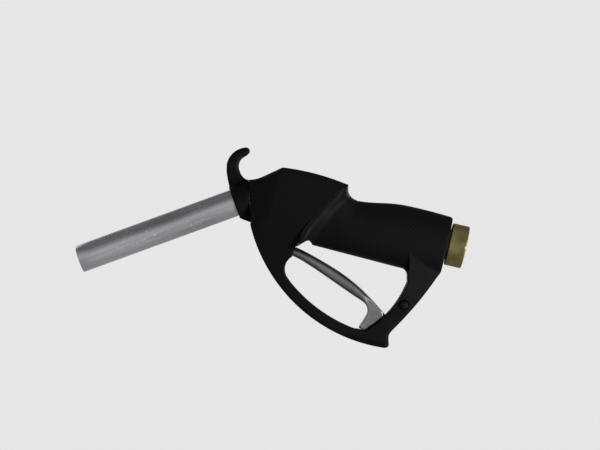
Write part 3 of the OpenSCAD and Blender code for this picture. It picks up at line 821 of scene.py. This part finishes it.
def rear_of_collar(r, turn):
    """Where the collar ends at its rear, on the slanted groove in front of the covers."""
    along = GROOVE_BOTTOM - GROOVE_TOP
    across = np.array([along[1], -along[0]]) / np.linalg.norm(along)
    base = SPOUT_ZERO + SPOUT_UP * r * math.cos(turn)
    return np.dot(GROOVE_TOP + across * GROOVE_GAP - base, across) / np.dot(SPOUT_OUT, across)


def build_collar():
    """The ring round the spout's root, with its slanted rear, front face and bore, and its lower boss."""
    rings = [("rear", COLLAR_BORE_R), ("rear", COLLAR_R - 0.8)]
    rings += [("rear_edge", COLLAR_R - 0.2), ("rear_side", COLLAR_R)]
    rings += [("side", share) for share in (0.25, 0.5, 0.75)]
    rings += [(NOSE_S - 1.4, COLLAR_R), (NOSE_S - 0.5, COLLAR_R - 0.35), (NOSE_S, COLLAR_R - 1.3)]
    rings += [(NOSE_S, SPOUT_R + 0.9), (NOSE_S - 0.4, SPOUT_R + 0.35), (NOSE_S - 6, SPOUT_R + 0.3)]
    rings += [(NOSE_S - 6, COLLAR_BORE_R)]

    def place(ring, turn):
        kind, value = ring
        if kind == "rear":
            return spout_point(rear_of_collar(value, turn), value, turn)
        if kind == "rear_edge":
            return spout_point(rear_of_collar(value, turn) + 0.2, value, turn)
        if kind == "rear_side":
            return spout_point(rear_of_collar(value, turn) + 0.8, value, turn)
        if kind == "side":
            start = rear_of_collar(COLLAR_R, turn) + 0.8
            return spout_point(start + (NOSE_S - 1.4 - start) * value, COLLAR_R, turn)
        return spout_point(kind, value, turn)

    ring = lathe("hook_collar_ring", rings, 96, place, hook_plastic, closed=True)
    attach(ring, "nozzle")
    outline = joined(
        straight([[-207.6, -12], [-210.4, -19.4]]),
        curve([[-210.3, -19.9], [-209.7, -20.4]], 0.4),
        straight([[-209.2, -20.6], [-199.1, -22.1]]),
        straight([[-199, -21.7], [-201.6, -13]]),
    )
    flat, triangles = triangulate(outline, [], [], 1.4)
    depth, _ = distance(flat, outline)
    half = BOSS_HALF - worked_edge(depth, 1.6, 1.6, 2.0)
    boss = plate("hook_collar_boss", flat, triangles, -half, half, hook_plastic)
    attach(boss, "nozzle")


build_lever()
build_hook()
build_collar()


# ---------- spout ----------

def build_spout():
    """The tube, turned down a little inside the collar, with its edges broken at the tip."""
    rings = [(1.0, SPOUT_ROOT_R), (NOSE_S + 0.6, SPOUT_ROOT_R), (NOSE_S + 0.8, SPOUT_R)]
    rings += [(NOSE_S + 0.8 + (SPOUT_TIP_S - NOSE_S - 1.4) * i / 12, SPOUT_R) for i in range(1, 13)]
    rings += [(SPOUT_TIP_S - 0.25, SPOUT_R - 0.15), (SPOUT_TIP_S, SPOUT_R - 0.5)]
    rings += [(SPOUT_TIP_S, SPOUT_BORE_R + 0.5), (SPOUT_TIP_S - 0.3, SPOUT_BORE_R)]
    rings += [(SPOUT_TIP_S - 20 - 130 * i / 4, SPOUT_BORE_R) for i in range(5)]
    rings += [(1.0, SPOUT_BORE_R)]

    def place(ring, turn):
        return spout_point(*ring, turn)

    spout = lathe("spout", rings, 128, place, drawn_aluminium, closed=True)
    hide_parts("spout_tube")
    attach(spout, "nozzle")


build_spout()


# ---------- inlet swivel ----------

def build_swivel():
    """The brass ring with its threaded mouth, two spanner slots and the spigot inside the body."""
    outside = [
        (-44.6, SWIVEL_BORE_R), (-44.6, SPIGOT_R - 0.5), (-44.1, SPIGOT_R), (-16.2, SPIGOT_R),
        (-16, 14.2), (SWIVEL_BACK, 15), (SWIVEL_BACK, SWIVEL_R - 0.7),
        (SWIVEL_BACK + 0.2, SWIVEL_R - 0.25), (SWIVEL_BACK + 0.6, SWIVEL_R),
    ]
    outside += [(x, SWIVEL_R) for x in (-12, -8, -4, -2)]
    outside += [(-1.35, SWIVEL_R), (-0.75, SWIVEL_R), (-0.3, SWIVEL_R - 0.22), (0, SWIVEL_R - 0.8)]
    mouth = [(0, 18.6), (0, 17.4), (-0.25, 17.0), (-1.2, 15.9)]
    steps = 60
    thread = [(THREAD_START - THREAD_LENGTH * i / steps, "thread") for i in range(steps + 1)]
    inner = [(-12, 14.95), (-14.6, 14.95), (-14.6, SWIVEL_BORE_R)]
    rings = outside + mouth + thread + inner
    segments = 144

    def place(ring, turn):
        x, r = ring
        if r == "thread":
            phase = (x / THREAD_PITCH + turn / (2 * math.pi)) % 1
            ridge = min(1.0, max(0.0, 1.35 * abs(2 * phase - 1) - 0.15))
            fade = min(1.0, (-1.2 - x) / 1.5 + 0.2)
            r = THREAD_R + THREAD_DEPTH * ridge * fade
        in_slot = abs(abs(r * math.sin(turn)) - r) < 0.12 and abs(r * math.cos(turn)) < SPANNER_SLOT_HALF
        if in_slot and x > -SPANNER_SLOT_DEPTH:
            x = -SPANNER_SLOT_DEPTH
        return (x, r * math.sin(turn), r * math.cos(turn))

    swivel = lathe("swivel", rings, segments, place, brass, 30, closed=True)
    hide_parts("inlet_swivel")
    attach(swivel, "swivel")


build_swivel()


# ---------- latch button, screws and springs ----------

def build_button():
    """The latch's domed button. Its rings are given by y and radius."""
    rings = [(-10.8, 3.8), (-10.8, 4.2), (-10.95, BUTTON_R), (-12.6, BUTTON_R)]
    for degrees in (12, 24, 36, 48, 60, 72, 82):
        rise = math.radians(degrees)
        rings.append((-12.6 - BUTTON_DOME * math.sin(rise), BUTTON_R * math.cos(rise) ** 0.55))
    rings += [(-12.6 - BUTTON_DOME, 0.01), (-13.3, 0.01), (-13.3, 3.8)]

    def place(ring, turn):
        y, r = ring
        return (LATCH_AT[0] + r * math.cos(turn), y, LATCH_AT[1] + r * math.sin(turn))

    button = lathe("latch_cap", rings, 64, place, hook_plastic, closed=True)
    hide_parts("latch_button")
    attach(button, "latch")


def build_screws():
    """Pan-head screws with cross recesses, set deep in the right cover."""
    segments = 64
    turns = [2 * math.pi * i / segments for i in range(segments)]
    shank = [(-6.8, 0.01), (-6.6, 1.7), (4.0, 1.8)]
    head = [(4.0, 3.5), (4.7, 3.6), (5.5, 3.35), (6.0, 2.7), (6.3, 1.9), (6.38, 1.2), (6.4, 0.5), (6.4, 0.01)]
    rings = shank + head
    vertices = []
    faces = []
    for at in SCREW_AT:
        start = len(vertices)
        for y, r in rings:
            for turn in turns:
                x, z = r * math.cos(turn), r * math.sin(turn)
                recessed = y > 5.9 and r < CROSS_R and min(abs(x), abs(z)) < CROSS_HALF
                vertices.append((at[0] + x, CROSS_FLOOR_Y if recessed else y, at[1] + z))
        faces += skin(len(rings), segments, start, False)
    screws = add_mesh("screws", vertices, faces, steel)
    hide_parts("cover_screws")
    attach(screws, "nozzle")


def coil(name, centre, axis, r, wire_r, height, turns, material):
    """A coil spring from centre along axis."""
    per_turn = 24
    sides = 8
    count = per_turn * turns
    turn_to = Vector((0, 0, 1)).rotation_difference(Vector(axis)).to_matrix()
    rise = height - 2 * wire_r
    vertices = []
    for i in range(count + 1):
        turn = 2 * math.pi * i / per_turn
        for j in range(sides):
            side = 2 * math.pi * j / sides
            reach = r + wire_r * math.cos(side)
            level = wire_r + rise * i / count + wire_r * math.sin(side)
            point = Vector((reach * math.cos(turn), reach * math.sin(turn), level))
            vertices.append(list(Vector(centre) + turn_to @ point))
    faces = []
    for a in range(0, count * sides, sides):
        b = a + sides
        for j in range(sides):
            k = (j + 1) % sides
            faces.append((a + j, b + j, b + k, a + k))
    faces += [tuple(range(sides)), tuple(count * sides + j for j in reversed(range(sides)))]
    return add_mesh(name, vertices, faces, material)


def build_springs():
    """The latch's spring and the valve's spring, each fixed at one end and given a mesh of its own."""
    latch_at = (LATCH_AT[0], LATCH_SPRING_Y, LATCH_AT[1])
    latch = coil("latch_coil", latch_at, (0, -1, 0), 3.1, 0.28, 5.5, 5, spring_steel)
    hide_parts("latch_spring")
    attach(latch, "nozzle")
    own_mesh(latch)
    valve_at = (VALVE_X, 0, VALVE_SPRING_LOW)
    valve_height = VALVE_SPRING_TOP - VALVE_SPRING_LOW
    valve = coil("valve_coil", valve_at, (0, 0, 1), 9, 0.8, valve_height, 4, spring_steel)
    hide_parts("valve_spring")
    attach(valve, "nozzle")
    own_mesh(valve)


build_button()
build_screws()
build_springs()

# The pieces inside keep their CAD shapes and get these finishes.
NODE_MATERIALS = {
    "valve_body": cast_aluminium, "chamber_cap": cast_aluminium,
    "spout_set_screw": steel, "valve_stem": steel, "poppet_nut": steel, "inlet_strainer": steel,
    "lever_pin": steel, "latch_pin": steel,
    "valve_seat": brass, "valve_poppet": brass, "gland_nut": brass,
    "swivel_retaining_ring": spring_steel, "lever_pin_clip": spring_steel,
    "valve_seal": rubber, "cap_o_ring": rubber, "stem_o_rings": rubber, "spout_o_ring": rubber,
    "swivel_o_rings": rubber, "inlet_washer": rubber,
}
for node_name, node_material in NODE_MATERIALS.items():
    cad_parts[node_name].data.materials.clear()
    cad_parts[node_name].data.materials.append(node_material)


# ---------- stage, light and camera ----------

# Lengths here are in metres.
PALE = 0.797
DIM_OVERHEAD = 0.3
DIM_BELOW = 0.4
FLOOR_R = 1.4
FLOOR_Z = -0.55
FLOOR_GLOW = 0.45
RIM_GLOW = 0.75
CAMERA_BACK = 2.6
CAMERA_AIM_X = -0.1544
CAMERA_AIM_Z = -0.014
CAMERA_ROLL = math.radians(13)
PICTURE_WIDTH = 0.558


def build_world():
    """Pale all round, dimmer overhead and below, so that the round metal parts keep their dark bands."""
    world = bpy.data.worlds.new("studio")
    bpy.context.scene.world = world
    world.use_nodes = True
    nodes, links = world.node_tree.nodes, world.node_tree.links
    coordinates = nodes.new("ShaderNodeTexCoord")
    split = nodes.new("ShaderNodeSeparateXYZ")
    links.new(coordinates.outputs["Generated"], split.inputs["Vector"])
    overhead = spread(nodes, links, split.outputs["Z"], 1, DIM_OVERHEAD, 0.15, 0.6)
    below = spread(nodes, links, split.outputs["Z"], DIM_BELOW, 1, -0.6, -0.1)
    links.new(product(nodes, links, [overhead, below]), nodes["Background"].inputs["Strength"])
    nodes["Background"].inputs["Color"].default_value = (PALE, PALE, PALE, 1)


def softbox(name, place, target, size, power):
    """A rectangular light at place that faces target."""
    light = bpy.data.lights.new(name, "AREA")
    light.shape = "RECTANGLE"
    light.size, light.size_y = size
    light.energy = power
    obj = bpy.data.objects.new(name, light)
    obj.location = place
    obj.rotation_mode = "QUATERNION"
    obj.rotation_quaternion = (Vector(target) - Vector(place)).to_track_quat("-Z", "Y")
    bpy.context.scene.collection.objects.link(obj)


def build_floor():
    """A pale disc below the nozzle that fades into the surroundings at its rim."""
    mesh = bpy.data.meshes.new("floor")
    turns = [2 * math.pi * i / 96 for i in range(96)]
    ring = [(FLOOR_R * math.cos(turn), FLOOR_R * math.sin(turn), 0) for turn in turns]
    mesh.from_pydata(ring, [], [tuple(range(96))])
    floor = bpy.data.objects.new("floor", mesh)
    floor.location = (-0.15, 0, FLOOR_Z)
    bpy.context.scene.collection.objects.link(floor)
    material, nodes, links, shader = new_material("floor")
    cloud, _ = noise(nodes, links, 6, 3)
    links.new(mixed(nodes, links, cloud, (0.1, 0.1, 0.1), (0.12, 0.12, 0.12)), shader.inputs["Base Color"])
    shader.inputs["Roughness"].default_value = 0.8
    shader.inputs["Emission Color"].default_value = (PALE, PALE, PALE, 1)
    shader.inputs["Emission Strength"].default_value = FLOOR_GLOW
    coordinates = nodes.new("ShaderNodeTexCoord")
    length = nodes.new("ShaderNodeVectorMath")
    length.operation = "LENGTH"
    links.new(coordinates.outputs["Object"], length.inputs[0])
    fade = spread(nodes, links, length.outputs["Value"], 0, 1, FLOOR_R * 0.4, FLOOR_R * 0.97)
    glow = nodes.new("ShaderNodeEmission")
    glow.inputs["Color"].default_value = (PALE, PALE, PALE, 1)
    glow.inputs["Strength"].default_value = RIM_GLOW
    blend = nodes.new("ShaderNodeMixShader")
    links.new(fade, blend.inputs["Fac"])
    links.new(shader.outputs["BSDF"], blend.inputs[1])
    links.new(glow.outputs["Emission"], blend.inputs[2])
    links.new(blend.outputs["Shader"], nodes["Material Output"].inputs["Surface"])
    mesh.materials.append(material)


def build_camera():
    """Looks along +Y, rolled so that the grip runs down to the right as it does when the nozzle is hung."""
    data = bpy.data.cameras.new("camera")
    data.sensor_width = 36
    data.lens = data.sensor_width * CAMERA_BACK / PICTURE_WIDTH
    camera = bpy.data.objects.new("camera", data)
    camera.location = (CAMERA_AIM_X, -CAMERA_BACK, CAMERA_AIM_Z)
    right = Vector((math.cos(CAMERA_ROLL), 0, math.sin(CAMERA_ROLL)))
    up = Vector((-math.sin(CAMERA_ROLL), 0, math.cos(CAMERA_ROLL)))
    back = Vector((0, -1, 0))
    camera.rotation_mode = "QUATERNION"
    camera.rotation_quaternion = Matrix((right, up, back)).transposed().to_quaternion()
    bpy.context.scene.collection.objects.link(camera)
    bpy.context.scene.camera = camera


build_world()
build_floor()
softbox("key", (0.95, -1.0, -0.05), (-0.12, 0, 0), (0.4, 1.3), 40)
softbox("top", (-0.2, -0.1, 1.2), (-0.15, 0, 0), (1.2, 0.5), 2)
softbox("rear", (0.85, 1.1, 0.35), (-0.15, 0, 0), (0.6, 1.2), 9)
softbox("back", (-1.3, 1.0, 0.2), (-0.15, 0, -0.02), (0.5, 1.0), 5)
build_camera()
bpy.context.scene.view_settings.view_transform = "Standard"
